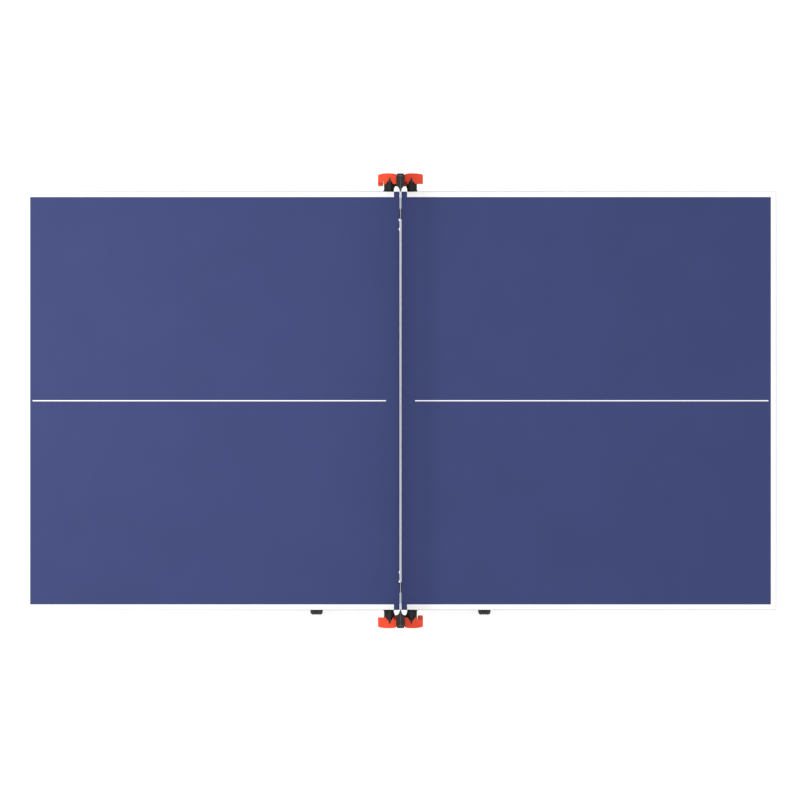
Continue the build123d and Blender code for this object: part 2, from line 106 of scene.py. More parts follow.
def lathe(bm, profile, place, steps=48, index=0, shape=None, closed=False):
    """Turn (radius, height) points about the local Z axis of a matrix."""
    rings = []
    for radius, height in profile:
        if radius < 1e-7:
            rings.append([bm.verts.new(place @ Vector((0, 0, height)))])
            continue
        ring = []
        for step in range(steps):
            angle = step * math.tau / steps
            reach = shape(radius, height, angle) if shape else radius
            point = Vector((reach * math.cos(angle), reach * math.sin(angle), height))
            ring.append(bm.verts.new(place @ point))
        rings.append(ring)
    for low, high in zip(rings, rings[1:]):
        bridge(bm, low, high, index)
    if closed:
        bridge(bm, rings[-1], rings[0], index)


def tube(bm, points, radius, sides=6, index=0, ripple=0.0):
    """A closed tube along a run of points, thicker and thinner by turns if it has a ripple."""
    points = [Vector(p) for p in points]
    rings = []
    normal = None
    for i, point in enumerate(points):
        ahead = points[min(i + 1, len(points) - 1)] - points[max(i - 1, 0)]
        ahead.normalize()
        if normal is None:
            guess = Vector((0, 0, 1)) if abs(ahead.z) < 0.9 else Vector((1, 0, 0))
            normal = ahead.cross(guess).normalized()
        normal = (normal - ahead * normal.dot(ahead)).normalized()
        side = ahead.cross(normal)
        ring = []
        for k in range(sides):
            angle = k * math.tau / sides
            offset = normal * math.cos(angle) + side * math.sin(angle)
            ring.append(bm.verts.new(point + offset * radius * (1 + ripple * (i % 2))))
        rings.append(ring)
    for low, high in zip(rings, rings[1:]):
        bridge(bm, low, high, index)
    bm.faces.new(rings[0]).material_index = index
    bm.faces.new(list(reversed(rings[-1]))).material_index = index


def along(axis, centre):
    """A matrix at a centre, whose local Z points along an axis."""
    turn = Vector((0, 0, 1)).rotation_difference(Vector(axis)).to_matrix().to_4x4()
    return Matrix.Translation(Vector(centre)) @ turn


# Materials. Every texture is measured in metres on the object itself.

def shader(name, colour, rough, metal=0.0, coat=0.0, sheen=0.0):
    """A new material and the parts of its node tree that the finishes below add to."""
    made = bpy.data.materials.new(name)
    made.use_nodes = True
    tree = made.node_tree
    surface = tree.nodes["Principled BSDF"]
    surface.inputs["Base Color"].default_value = (*colour, 1)
    surface.inputs["Roughness"].default_value = rough
    surface.inputs["Metallic"].default_value = metal
    surface.inputs["Coat Weight"].default_value = coat
    surface.inputs["Coat Roughness"].default_value = 0.2
    surface.inputs["Sheen Weight"].default_value = sheen
    surface.inputs["Specular IOR Level"].default_value = 0.5 if metal else 0.3
    place = tree.nodes.new("ShaderNodeTexCoord")
    return made, tree, surface, place.outputs["Object"]


def noise(tree, place, scale, detail=4.0, rough=0.55, stretch=(1, 1, 1)):
    """Noise of about 1 / scale metres, stretched along the axes."""
    mapping = tree.nodes.new("ShaderNodeMapping")
    mapping.inputs["Scale"].default_value = stretch
    tree.links.new(place, mapping.inputs["Vector"])
    texture = tree.nodes.new("ShaderNodeTexNoise")
    texture.inputs["Scale"].default_value = scale
    texture.inputs["Detail"].default_value = detail
    texture.inputs["Roughness"].default_value = rough
    tree.links.new(mapping.outputs["Vector"], texture.inputs["Vector"])
    return texture.outputs["Fac"]


def ramp(tree, source, low, high, start=0.35, end=0.65):
    """Blend from one colour to another as a texture rises from start to end."""
    node = tree.nodes.new("ShaderNodeValToRGB")
    node.color_ramp.elements[0].position = start
    node.color_ramp.elements[0].color = (*low, 1)
    node.color_ramp.elements[1].position = end
    node.color_ramp.elements[1].color = (*high, 1)
    tree.links.new(source, node.inputs["Fac"])
    return node.outputs["Color"]


def spread(tree, source, low, high):
    """Stretch a texture's middle range onto two values."""
    node = tree.nodes.new("ShaderNodeMapRange")
    node.inputs["From Min"].default_value = 0.3
    node.inputs["From Max"].default_value = 0.7
    node.inputs["To Min"].default_value = low
    node.inputs["To Max"].default_value = high
    tree.links.new(source, node.inputs["Value"])
    return node.outputs["Result"]


def bump(tree, surface, height, distance, strength=0.6, before=None):
    """Raise the surface by a texture. Returns the normal, so that another bump can follow."""
    node = tree.nodes.new("ShaderNodeBump")
    node.inputs["Distance"].default_value = distance
    node.inputs["Strength"].default_value = strength
    tree.links.new(height, node.inputs["Height"])
    if before is not None:
        tree.links.new(before, node.inputs["Normal"])
    tree.links.new(node.outputs["Normal"], surface.inputs["Normal"])
    return node.outputs["Normal"]


def shade(colour, factor):
    """A colour made lighter or darker."""
    return tuple(min(1.0, part * factor) for part in colour)


def mottled(name, colour, rough, grain, depth, spread_by=0.12, **finish):
    """A finish with slow colour drift, uneven gloss and a fine surface grain."""
    made, tree, surface, place = shader(name, colour, rough, **finish)
    drift = noise(tree, place, 9.0, 5.0)
    tint = ramp(tree, drift, shade(colour, 1 - spread_by), shade(colour, 1 + spread_by))
    tree.links.new(tint, surface.inputs["Base Color"])
    gloss = noise(tree, place, 40.0, 6.0)
    tree.links.new(spread(tree, gloss, rough - 0.07, rough + 0.07), surface.inputs["Roughness"])
    bump(tree, surface, noise(tree, place, grain, 3.0), depth)
    return made


def table_blue():
    """Matt blue playing lacquer with fine roller texture and uneven gloss."""
    colour = (0.031, 0.043, 0.140)
    made, tree, surface, place = shader("table_blue", colour, 0.58)
    surface.inputs["Specular IOR Level"].default_value = 0.2
    drift = noise(tree, place, 5.0, 6.0)
    tint = ramp(tree, drift, shade(colour, 0.98), shade(colour, 1.02))
    tree.links.new(tint, surface.inputs["Base Color"])
    scuffs = noise(tree, place, 22.0, 8.0, 0.7, (1, 0.35, 1))
    tree.links.new(spread(tree, scuffs, 0.55, 0.62), surface.inputs["Roughness"])
    roller = bump(tree, surface, noise(tree, place, 1400.0, 2.0), 0.00004, 0.35)
    bump(tree, surface, noise(tree, place, 260.0, 2.0), 0.00003, 0.25, roller)
    return made


def white_lines():
    """Screen-printed white paint, a little uneven in gloss."""
    return mottled("white_lines", (0.84, 0.84, 0.84), 0.5, 900.0, 0.00003, 0.02)


def edge_band():
    """Dark plastic edging glued round the board."""
    return mottled("edge_band", (0.018, 0.022, 0.045), 0.45, 1500.0, 0.00005, 0.15)


def underside_board():
    """Sealed fibreboard underside with flecks and raised fibres."""
    colour = (0.035, 0.04, 0.055)
    made, tree, surface, place = shader("underside_board", colour, 0.75)
    flecks = noise(tree, place, 320.0, 6.0, 0.75)
    tint = ramp(tree, flecks, shade(colour, 0.7), shade(colour, 1.6), 0.4, 0.72)
    tree.links.new(tint, surface.inputs["Base Color"])
    fibre = noise(tree, place, 700.0, 5.0, 0.6, (1, 0.2, 1))
    bump(tree, surface, fibre, 0.0001)
    return made


def powder_coat():
    """Dark powder coat with orange-peel texture and small rubbed spots."""
    colour = (0.030, 0.032, 0.037)
    made, tree, surface, place = shader("powder_coat", colour, 0.42, coat=0.15)
    rubs = noise(tree, place, 26.0, 9.0, 0.75)
    tint = ramp(tree, rubs, colour, shade(colour, 2.6), 0.62, 0.8)
    tree.links.new(tint, surface.inputs["Base Color"])
    tree.links.new(spread(tree, rubs, 0.36, 0.52), surface.inputs["Roughness"])
    peel = bump(tree, surface, noise(tree, place, 950.0, 2.0), 0.00012, 0.5)
    bump(tree, surface, noise(tree, place, 2600.0, 2.0), 0.00004, 0.4, peel)
    return made


def zinc():
    """Zinc plate with faint crystal patches and rolling marks."""
    colour = (0.52, 0.53, 0.55)
    made, tree, surface, place = shader("zinc_plate", colour, 0.34, metal=1.0)
    cells = tree.nodes.new("ShaderNodeTexVoronoi")
    cells.inputs["Scale"].default_value = 190.0
    tree.links.new(place, cells.inputs["Vector"])
    tint = ramp(tree, cells.outputs["Distance"], shade(colour, 0.82), shade(colour, 1.1), 0.05, 0.8)
    tree.links.new(tint, surface.inputs["Base Color"])
    stain = noise(tree, place, 45.0, 7.0)
    tree.links.new(spread(tree, stain, 0.26, 0.46), surface.inputs["Roughness"])
    bump(tree, surface, noise(tree, place, 1200.0, 3.0, 0.6, (1, 1, 0.15)), 0.00005, 0.4)
    return made


def woven(name, colour, threads, depth, rough=0.85):
    """Plain weave: warp and weft ridges that cross, with painted shade in the hollows between them and soft
    fibre noise.
    """
    made, tree, surface, place = shader(name, colour, rough, sheen=0.08)
    ridges = []
    for axis in ("Y", "Z"):
        wave = tree.nodes.new("ShaderNodeTexWave")
        wave.wave_type = "BANDS"
        wave.bands_direction = axis
        wave.inputs["Scale"].default_value = threads
        wave.inputs["Distortion"].default_value = 0.6
        wave.inputs["Detail Scale"].default_value = 2.0
        tree.links.new(place, wave.inputs["Vector"])
        ridges.append(wave.outputs["Fac"])
    cross = tree.nodes.new("ShaderNodeMath")
    cross.operation = "MULTIPLY"
    tree.links.new(ridges[0], cross.inputs[0])
    tree.links.new(ridges[1], cross.inputs[1])
    # Painted shade: the colour darkens where the warp and weft ridges are low, in the hollows of the weave
    # bump.
    tint = ramp(tree, cross.outputs["Value"], shade(colour, 0.82), colour, 0.0, 0.6)
    tree.links.new(tint, surface.inputs["Base Color"])
    weave = bump(tree, surface, cross.outputs["Value"], depth)
    bump(tree, surface, noise(tree, place, 2200.0, 4.0), depth * 0.3, 0.5, weave)
    return made


def twine(name, colour):
    """Twisted yarn whose plies are raised by a bump, with the colour darkened in the gaps between the plies
    as painted shade.
    """
    made, tree, surface, place = shader(name, colour, 0.8, sheen=0.3)
    plies_and_gap_shade = noise(tree, place, 1500.0, 4.0, 0.6, (1, 0.6, 0.6))
    # Painted shade: the colour darkens where the ply noise is low, in the hollows that the bump below makes.
    tint = ramp(tree, plies_and_gap_shade, shade(colour, 0.55), shade(colour, 1.3))
    tree.links.new(tint, surface.inputs["Base Color"])
    bump(tree, surface, plies_and_gap_shade, 0.0002)
    return made


BLUE = table_blue()
LINES = white_lines()
EDGE = edge_band()
UNDER = underside_board()
PAINT = powder_coat()
ZINC = zinc()
BLACK = mottled("black_moulding", (0.013, 0.013, 0.015), 0.48, 1700.0, 0.00009)
POST = mottled("post_moulding", (0.011, 0.011, 0.013), 0.40, 1300.0, 0.00006)
ORANGE = mottled("orange_moulding", (0.88, 0.062, 0.014), 0.42, 1500.0, 0.00005, 0.06, coat=0.1)
WHITE = mottled("white_moulding", (0.78, 0.78, 0.77), 0.38, 1500.0, 0.00004, 0.04)
GREY = mottled("grey_moulding", (0.085, 0.087, 0.092), 0.46, 1400.0, 0.00007)
RUBBER = mottled("rubber", (0.017, 0.017, 0.018), 0.72, 800.0, 0.00012, 0.25)
TAPE = woven("tape_cloth", (0.40, 0.42, 0.48), 260.0, 0.00012)
TWINE = twine("net_twine", (0.030, 0.036, 0.075))
CORD = twine("cord_twine", (0.27, 0.31, 0.36))
THREAD = twine("sewing_thread", (0.55, 0.56, 0.60))

NODE_MATERIALS = {
    "side_rails": PAINT, "cross_rails": PAINT, "hinge_plates": PAINT, "leg_tubes": PAINT,
    "leg_crossbar": PAINT, "link_bars": PAINT, "base_tubes": PAINT, "cross_tubes": PAINT,
    "uprights": PAINT, "link_plates": PAINT, "centre_columns": PAINT, "head_plates": PAINT,
    "strike_plates": ZINC, "pivot_pins": ZINC, "castor_plates": ZINC, "castor_bolts": ZINC,
    "castor_fork": ZINC, "lock_bolt": ZINC, "brake_pedal": ORANGE, "tube_end_caps": BLACK,
    "lock_housings": BLACK, "net_posts": POST, "net_cord": CORD, "net_clips": WHITE,
    "lock_handle": ORANGE, "storage_plunger": BLACK, "levelling_foot": RUBBER,
    "castor_hub": GREY, "castor_tyre": RUBBER, "net_fabric": TWINE, "net_tape": TAPE, "board": BLUE,
}
SOFT_EDGES = {
    "hinge_plates": 0.8, "leg_tubes": 1.2, "link_bars": 0.9, "link_plates": 0.7, "head_plates": 0.8,
    "strike_plates": 0.5, "castor_plates": 0.8, "castor_fork": 0.7, "brake_pedal": 0.8, "uprights": 1.2,
    "lock_housings": 0.8, "net_posts": 0.9, "castor_bolts": 0.5, "pivot_pins": 0.6, "net_clips": 0.5,
    "tube_end_caps": 0.8, "lock_handle": 0.7,
}


def finish_of(table, node):
    """The entry of a table whose key starts the node's name."""
    for key, value in table.items():
        if node.startswith(key):
            return value
    return None


def dress_nodes():
    """Give every CAD node its finish, and round the sharp edges of the pressed and moulded ones."""
    for name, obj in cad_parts.items():
        material = finish_of(NODE_MATERIALS, name)
        obj.data.materials.clear()
        obj.data.materials.append(material)
        width = finish_of(SOFT_EDGES, name)
        if width is None:
            continue
        weld = obj.modifiers.new("weld", "WELD")
        weld.merge_threshold = 0.00001
        soft = obj.modifiers.new("soft_edges", "BEVEL")
        soft.width = width * MM
        soft.segments = 2
        soft.limit_method = "ANGLE"
        soft.angle_limit = math.radians(40)
        soft.harden_normals = True


# Boards.

def board_cuts(side):
    """The x and y lines that divide the playing surface into paint and lacquer."""
    end = LENGTH / 2
    across = WIDTH / 2
    half_line = CENTRE_LINE / 2
    xs = [SEAM, BORDER_START, CENTRE_LINE_ENDS[0], CENTRE_LINE_ENDS[1], end - BORDER, end]
    ys = [-across, -across + BORDER, -half_line, half_line, across - BORDER, across]
    return [x * SIDES[side] for x in xs], ys


def is_line(x, y):
    """Whether a point of the playing surface is painted white."""
    along_side = abs(y) > WIDTH / 2 - BORDER and abs(x) > BORDER_START
    at_end = abs(x) > LENGTH / 2 - BORDER
    middle = abs(y) < CENTRE_LINE / 2 and CENTRE_LINE_ENDS[0] < abs(x) < CENTRE_LINE_ENDS[1]
    return along_side or at_end or middle


def make_board(side):
    """One half's board: painted top, banded edge and sealed underside, with rounded edges."""
    xs, ys = board_cuts(side)
    bm = bmesh.new()
    layers = []
    for z in (UNDERSIDE, HEIGHT):
        layers.append([[bm.verts.new((x, y, z)) for y in ys] for x in xs])
    for level, layer in enumerate(layers):
        for i in range(len(xs) - 1):
            for j in range(len(ys) - 1):
                face = bm.faces.new((layer[i][j], layer[i + 1][j], layer[i + 1][j + 1], layer[i][j + 1]))
                middle = face.calc_center_median()
                painted = is_line(middle.x, middle.y)
                face.material_index = (1 if painted else 0) if level else 3
    low, high = layers
    rim = [(i, 0) for i in range(len(xs))] + [(len(xs) - 1, j) for j in range(1, len(ys))]
    rim += [(i, len(ys) - 1) for i in range(len(xs) - 2, -1, -1)]
    rim += [(0, j) for j in range(len(ys) - 2, 0, -1)]
    for (a, b), (c, d) in zip(rim, rim[1:] + rim[:1]):
        bm.faces.new((low[a][b], low[c][d], high[c][d], high[a][b])).material_index = 2
    bmesh.ops.recalc_face_normals(bm, faces=bm.faces)
    edges = [e for e in bm.edges if len(e.link_faces) == 2 and e.calc_face_angle() > 1]
    bmesh.ops.bevel(bm, geom=edges, offset=1.0 * MM, segments=3, profile=0.6, affect="EDGES", material=2)
    return piece(f"board_top_{side}", bm, [BLUE, LINES, EDGE, UNDER], f"half_{side}",
                 [f"board_{side}"])


# Net.

def make_net():
    """The knotted mesh: strands both ways with a knot at each crossing, a little uneven."""
    rng = random.Random(7)
    low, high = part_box("net_fabric")
    across = high.y - low.y - STRAND
    deep = high.z - low.z - STRAND
    columns = round(across / MESH_PITCH)
    rows = round(deep / MESH_PITCH)
    knots = []
    for i in range(columns + 1):
        line = []
        for j in range(rows + 1):
            inner = 0.0 if j in (0, rows) or i in (0, columns) else 1.0
            y = low.y + STRAND / 2 + across * i / columns + inner * rng.uniform(-0.5, 0.5) * MM
            z = low.z + STRAND / 2 + deep * j / rows + inner * rng.uniform(-0.5, 0.5) * MM
            line.append(Vector((inner * rng.uniform(-0.25, 0.25) * MM, y, z)))
        knots.append(line)
    bm = bmesh.new()
    for line in knots:
        tube(bm, line, STRAND / 2, 5)
    for j in range(rows + 1):
        tube(bm, [line[j] for line in knots], STRAND / 2, 5)
    for i, line in enumerate(knots):
        for j, knot in enumerate(line):
            if 0 < j < rows and 0 < i < columns:
                size = STRAND * rng.uniform(0.66, 0.8)
                bmesh.ops.create_icosphere(bm, subdivisions=1, radius=size, matrix=Matrix.Translation(knot))
    net = piece("net_mesh", bm, [TWINE], "chassis", ["net_fabric"], 60)
    return net


def make_tape(stitches):
    """The band folded over the cord: two walls and a rounded top, doubled near its ends."""
    low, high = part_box("net_tape")
    top = high.z
    wall = 0.5 * MM
    bm = bmesh.new()
    steps = 300
    rings = []
    for i in range(steps + 1):
        y = low.y + (high.y - low.y) * i / steps
        swell = tape_half(y)
        wave = 0.12 * MM * math.sin(y * 47.0) + 0.08 * MM * math.sin(y * 131.0 + 1.0)
        outer = [(-swell + wave, low.z + wave)]
        outer += fold(swell, top - swell, -1)
        outer += [(swell + wave, low.z - wave * 0.5)]
        inner_half = swell - wall
        inner = [(inner_half + wave, low.z - wave * 0.5)]
        inner += fold(inner_half, top - swell, 1)
        inner += [(-inner_half + wave, low.z + wave)]
        rings.append([bm.verts.new((x, y, z)) for x, z in outer + inner])
    for a, b in zip(rings, rings[1:]):
        bridge(bm, a, b, 0)
    bm.faces.new(rings[0])
    bm.faces.new(rings[-1])
    tape = piece("net_tape_cloth", bm, [TAPE], "chassis", ["net_tape"], 50)
    return tape


def fold(half, spring, start):
    """Points over the tape's rounded top, from the side that start gives."""
    turns = [math.pi * k / FOLD_STEPS for k in range(FOLD_STEPS + 1)]
    return [(start * half * math.cos(turn), spring + half * math.sin(turn)) for turn in turns]


def tape_half(y):
    """Half the tape's thickness: more where it is doubled near its ends, with soft steps."""
    inside = min(abs(y) - DOUBLED_FROM, DOUBLED_TO - abs(y))
    share = min(1.0, max(0.0, inside / (2 * MM) + 0.5))
    return TAPE_HALF + (TAPE_DOUBLED_HALF - TAPE_HALF) * share


def make_stitches():
    """Two rows of lock stitches along both faces of the tape."""
    low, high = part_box("net_tape")
    bm = bmesh.new()
    pitch = 4.0 * MM
    count = int((high.y - low.y - 0.01) / pitch)
    for face in (-1, 1):
        for z in (low.z + 2.2 * MM, low.z + 4.0 * MM):
            for k in range(count):
                y = low.y + 0.006 + k * pitch
                x = face * (tape_half(y) + 0.05 * MM)
                ends = [(x, y - 1.4 * MM, z), (x + face * 0.12 * MM, y, z), (x, y + 1.4 * MM, z)]
                tube(bm, ends, 0.16 * MM, 4)
    return piece("tape_stitches", bm, [THREAD], "chassis", (), 60)


def make_net_ties():
    """Short loops that hold the net's ends to the noses of the posts."""
    bm = bmesh.new()
    low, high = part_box("net_fabric")
    nose = WIDTH / 2 + 0.5 * MM
    for end in (-1, 1):
        for k in range(4):
            z = low.z + (high.z - low.z) * (k + 0.5) / 4
            for face in (-1, 1):
                loop = [(0, end * (high.y - STRAND), z)]
                loop += [(face * 1.6 * MM, end * (high.y + 2 * MM), z + 0.5 * MM)]
                loop += [(face * 2.6 * MM, end * (nose + 2.5 * MM), z + 0.8 * MM)]
                loop += [(face * 3.4 * MM, end * (nose + 5 * MM), z)]
                tube(bm, loop, 0.55 * MM, 6)
    return piece("net_ties", bm, [CORD], "chassis", (), 60)


# Hardware and turned parts.

def dome_head(bm, place, radius, height, socket=0.45):
    """A domed screw head with a hexagon socket, standing up along the matrix's Z."""
    bore = radius * socket
    profile = [(radius * 1.18, 0), (radius * 1.18, height * 0.14)]
    profile += [(radius, height * 0.15), (radius, height * 0.4)]
    profile += [(radius * 0.9, height * 0.75), (radius * 0.68, height * 0.94), (bore * 1.1, height)]
    lathe(bm, profile, place, 24)

    def hexagon(reach, _height, angle):
        return reach * math.cos(math.pi / 6) / math.cos((angle % (math.pi / 3)) - math.pi / 6)

    lathe(bm, [(bore * 1.1, height), (bore, height * 0.93), (bore, height * 0.4), (0, height * 0.32)],
          place, 24, shape=hexagon)


def make_post_screws():
    """The screws up through the head plates into the net posts."""
    bm = bmesh.new()
    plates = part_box("head_plates")
    for end in (-1, 1):
        for x in (-7 * MM, 7 * MM):
            for y in (plates[1].y - 6 * MM, plates[1].y - 30 * MM):
                dome_head(bm, along((0, 0, -1), (x, end * y, plates[0].z)), 3.0 * MM, 2.6 * MM)
    piece("post_screws", bm, [ZINC], "chassis", (), 40)


def make_cord_cleats():
    """The cleat on top of each net post that the net's cord is wound on."""
    bm = bmesh.new()
    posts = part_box("net_posts")
    for end in (-1, 1):
        y = end * (posts[1].y - 9 * MM)
        z = posts[1].z + 1.2 * MM
        horns = ((-8, 1.2), (-6, 0.3), (-3, 0), (3, 0), (6, 0.3), (8, 1.2))
        tube(bm, [(x * MM, y, z + rise * MM) for x, rise in horns], 1.5 * MM, 10)
        tube(bm, [(0, y, posts[1].z - 5 * MM), (0, y, z)], 2.4 * MM, 10)
    piece("cord_cleats", bm, [GREY], "chassis", (), 50)


def make_housing_screws():
    """The screws down through the top of each lock housing."""
    bm = bmesh.new()
    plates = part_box("head_plates")
    for end in (-1, 1):
        for side in SIDES.values():
            for x in (29 * MM, 57 * MM):
                place = (side * x, end * (WIDTH / 2 + 7 * MM), plates[1].z + 56 * MM)
                dome_head(bm, along((0, 0, 1), place), 2.6 * MM, 2.0 * MM)
    piece("housing_screws", bm, [BLACK], "chassis", (), 40)


def make_frame_screws():
    """The board's fixing screws, up through the rails from below."""
    head = 4.5 * MM
    rise = 3.0 * MM
    first = 120 * MM
    pitch = 215 * MM
    for side, sign in SIDES.items():
        bm = bmesh.new()
        low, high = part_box(f"cross_rails_{side}")
        inner, outer = sorted((abs(low.x), abs(high.x)))
        for middle in (inner + RAIL / 2, (inner + outer) / 2 - 4 * MM, outer - RAIL / 2):
            for step in range(-2, 3):
                dome_head(bm, along((0, 0, -1), (sign * middle, step * 250 * MM, low.z)), head, rise)
        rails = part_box(f"side_rails_{side}")
        for y in (rails[1].y - RAIL / 2, rails[0].y + RAIL / 2):
            for step in range(6):
                x = inner + first + step * pitch
                dome_head(bm, along((0, 0, -1), (sign * x, y, rails[0].z)), head, rise)
        piece(f"frame_screws_{side}", bm, [ZINC], f"half_{side}", (), 40)


def bead(bm, corners, closed=True, size=1.7):
    """A rippled weld bead along straight runs between corners."""
    corners = [Vector(c) for c in corners]
    points = []
    runs = list(zip(corners, corners[1:] + corners[:1])) if closed else list(zip(corners, corners[1:]))
    for a, b in runs:
        count = max(2, round((b - a).length / (1.6 * MM)))
        points += [a.lerp(b, k / count) for k in range(count)]
    points.append(runs[-1][1])
    tube(bm, points, size * MM, 6, 0, 0.22)


def rectangle(axis, at, low, high):
    """The corners of a rectangle square to an axis, from two opposite corners."""
    (u0, v0), (u1, v1) = low, high
    flat = [(u0, v0), (u1, v0), (u1, v1), (u0, v1)]
    place = {"x": lambda u, v: (at, u, v), "y": lambda u, v: (u, at, v), "z": lambda u, v: (u, v, at)}[axis]
    return [place(u, v) for u, v in flat]


def make_chassis_welds():
    """Beads where the cross tubes, uprights and columns meet the base tubes."""
    bm = bmesh.new()
    low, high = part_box("base_tubes")
    inside = high.y - BASE_TUBE
    gap = 3 * MM
    for end in (-1, 1):
        for sign in SIDES.values():
            x0, x1 = sorted(sign * x for x in CROSS_TUBE)
            bead(bm, rectangle("y", end * inside, (x0, low.z + gap), (x1, high.z - gap)))
            u0, u1 = sorted(sign * x for x in UPRIGHT)
            y0, y1 = sorted((end * (inside + gap), end * (high.y - gap)))
            bead(bm, rectangle("z", high.z, (u0, y0), (u1, y1)))
            centre = (sign * COLUMN, end * (inside + BASE_TUBE / 2), high.z + 0.5 * MM)
            bead(bm, circle(centre, COLUMN_BEAD), True, 1.4)
    piece("chassis_welds", bm, [PAINT], "chassis", (), 60)


def circle(centre, radius, steps=24):
    """Points round a level circle."""
    x, y, z = centre
    turns = [k * math.tau / steps for k in range(steps)]
    return [(x + radius * math.cos(turn), y + radius * math.sin(turn), z) for turn in turns]


def make_half_welds(side, sign):
    """Beads round the ends of the three cross rails of one half's frame."""
    bm = bmesh.new()
    low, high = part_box(f"cross_rails_{side}")
    inner, outer = sorted((abs(low.x), abs(high.x)))
    for start in (inner, MIDDLE_RAIL, outer - RAIL):
        for end in (-1, 1):
            x0, x1 = sorted((sign * start, sign * (start + RAIL)))
            y = end * high.y
            top = high.z - 3 * MM
            bottom = low.z + 1 * MM
            bead(bm, [(x0, y, top), (x0, y, bottom), (x1, y, bottom), (x1, y, top)], False)
    piece(f"half_welds_{side}", bm, [PAINT], f"half_{side}", (), 60)


def make_leg_welds(side):
    """Beads round both ends of a leg crossbar."""
    bm = bmesh.new()
    low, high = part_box(f"leg_crossbar_{side}")
    for y in (low.y, high.y):
        bead(bm, rectangle("y", y, (low.x, low.z + 1 * MM), (high.x, high.z - 1 * MM)))
    piece(f"leg_welds_{side}", bm, [PAINT], f"legs_{side}", (), 60)


def wheel_size(row, side):
    """A wheel's centre, radius and half width."""
    low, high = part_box(f"castor_tyre_{row}_{side}")
    return (low + high) / 2, (high.z - low.z) / 2, (high.x - low.x) / 2


def make_tyre(row, side):
    """A tread with three grooves, round shoulders and stepped sidewalls."""
    centre, radius, half = wheel_size(row, side)
    profile = [(WHEEL_SEAT, -half + 1.5 * MM), (WHEEL_SEAT + 2 * MM, -half + 0.6 * MM)]
    profile += [(radius - 15 * MM, -half), (radius - 13.5 * MM, -half + 0.8 * MM)]
    profile += [(radius - 10 * MM, -half + 0.6 * MM)]
    shoulder = 10 * MM
    for k in range(1, 6):
        turn = k * math.pi / 12
        profile.append((radius - shoulder * (1 - math.sin(turn)), -half + shoulder * (1 - math.cos(turn))))
    wall = len(profile)
    groove = 1.6 * MM
    for middle in (-7 * MM, 0, 7 * MM):
        profile += [(radius, middle - 1.5 * MM), (radius - groove, middle - 0.9 * MM),
                    (radius - groove, middle + 0.9 * MM), (radius, middle + 1.5 * MM)]
    profile += [(r, -h) for r, h in reversed(profile[:wall])]
    bm = bmesh.new()
    lathe(bm, profile, along((1, 0, 0), centre), 96, closed=True)
    piece(f"tyre_{row}_{side}", bm, [RUBBER], f"wheel_{row}_{side}",
          [f"castor_tyre_{row}_{side}"], 50)


def make_wheel_centre(row, side):
    """A dished wheel centre with a boss, a rim and six ribs on each face."""
    centre, _radius, half = wheel_size(row, side)
    place = along((1, 0, 0), centre)
    bm = bmesh.new()
    bore = 5.05 * MM
    face = half - 4 * MM
    dish = half - 12 * MM
    side_of = [(bore, half - 1.5 * MM), (10.5 * MM, half - 1.5 * MM), (12 * MM, half - 2.6 * MM),
               (13 * MM, dish + 1 * MM), (15 * MM, dish), (34 * MM, dish), (36 * MM, dish + 1.5 * MM),
               (37 * MM, face), (40.5 * MM, face), (WHEEL_SEAT, face - 1.5 * MM)]
    outline = side_of + [(r, -h) for r, h in reversed(side_of)]
    lathe(bm, outline, place, 72, closed=True)
    for face_sign in (-1, 1):
        for k in range(6):
            spoke(bm, place, k * math.tau / 6, face_sign, dish, face)
    piece(f"wheel_centre_{row}_{side}", bm, [GREY], f"wheel_{row}_{side}",
          [f"castor_hub_{row}_{side}"], 40)


def make_axle_nuts(row, side):
    """The nut on each end of a wheel's axle."""
    centre, _radius, half = wheel_size(row, side)
    bm = bmesh.new()
    for face_sign in (-1, 1):
        outer = centre + Vector((face_sign * (half + 9.5 * MM), 0, 0))
        seat = outer - Vector((face_sign * 4.5 * MM, 0, 0))
        hex_nut(bm, along((face_sign, 0, 0), seat), 8.6 * MM, 4.4 * MM)
    piece(f"axle_nuts_{row}_{side}", bm, [ZINC], f"castor_{row}_{side}", (), 40)


def spoke(bm, place, angle, face_sign, dish, face):
    """One rib of a wheel centre, between its boss and its rim."""
    turn = Matrix.Rotation(angle, 4, "Z")
    corners = []
    for r, w in ((12 * MM, 2.2 * MM), (38 * MM, 1.7 * MM)):
        for v in (-w, w):
            for h in (dish - 1 * MM, face - 1.6 * MM):
                corners.append(place @ turn @ Vector((r, v, face_sign * h)))
    verts = [bm.verts.new(c) for c in corners]
    for quad in ((0, 1, 3, 2), (4, 5, 7, 6), (0, 1, 5, 4), (2, 3, 7, 6), (0, 2, 6, 4), (1, 3, 7, 5)):
        bm.faces.new([verts[i] for i in quad])


def hex_nut(bm, place, radius, height):
    """A chamfered hexagon nut with a domed insert."""
    def hexagon(reach, _height, angle):
        flat = radius * math.cos(math.pi / 6) / math.cos((angle % (math.pi / 3)) - math.pi / 6)
        return min(reach, flat)

    profile = [(0, 0), (radius, 0), (radius, height * 0.72), (radius * 0.9, height * 0.86)]
    profile += [(radius * 0.62, height * 0.88), (radius * 0.6, height)]
    profile += [(radius * 0.35, height), (0, height * 0.9)]
    lathe(bm, profile, place, 36, shape=hexagon)


def make_race(row, side):
    """The pressed ball-race cup and kingpin rivet under a fork's crown."""
    low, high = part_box(f"castor_fork_{row}_{side}")
    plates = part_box("castor_plates")
    sign = SIDES[side]
    x = (low.x + high.x) / 2
    y = ROWS[row] * (plates[1].y - 20 * MM)
    crown = plates[0].z - 8.5 * MM
    bm = bmesh.new()
    profile = [(19 * MM, 0), (19 * MM, 1.5 * MM), (17.5 * MM, 4 * MM), (14 * MM, 5.5 * MM)]
    profile += [(8.5 * MM, 5.8 * MM), (8 * MM, 7 * MM), (6.5 * MM, 8.3 * MM), (3 * MM, 8.9 * MM), (0, 9 * MM)]
    lathe(bm, profile, along((0, 0, -1), (x, y, crown)), 40)
    piece(f"swivel_race_{row}_{side}", bm, [ZINC], f"castor_{row}_{side}", (), 40)


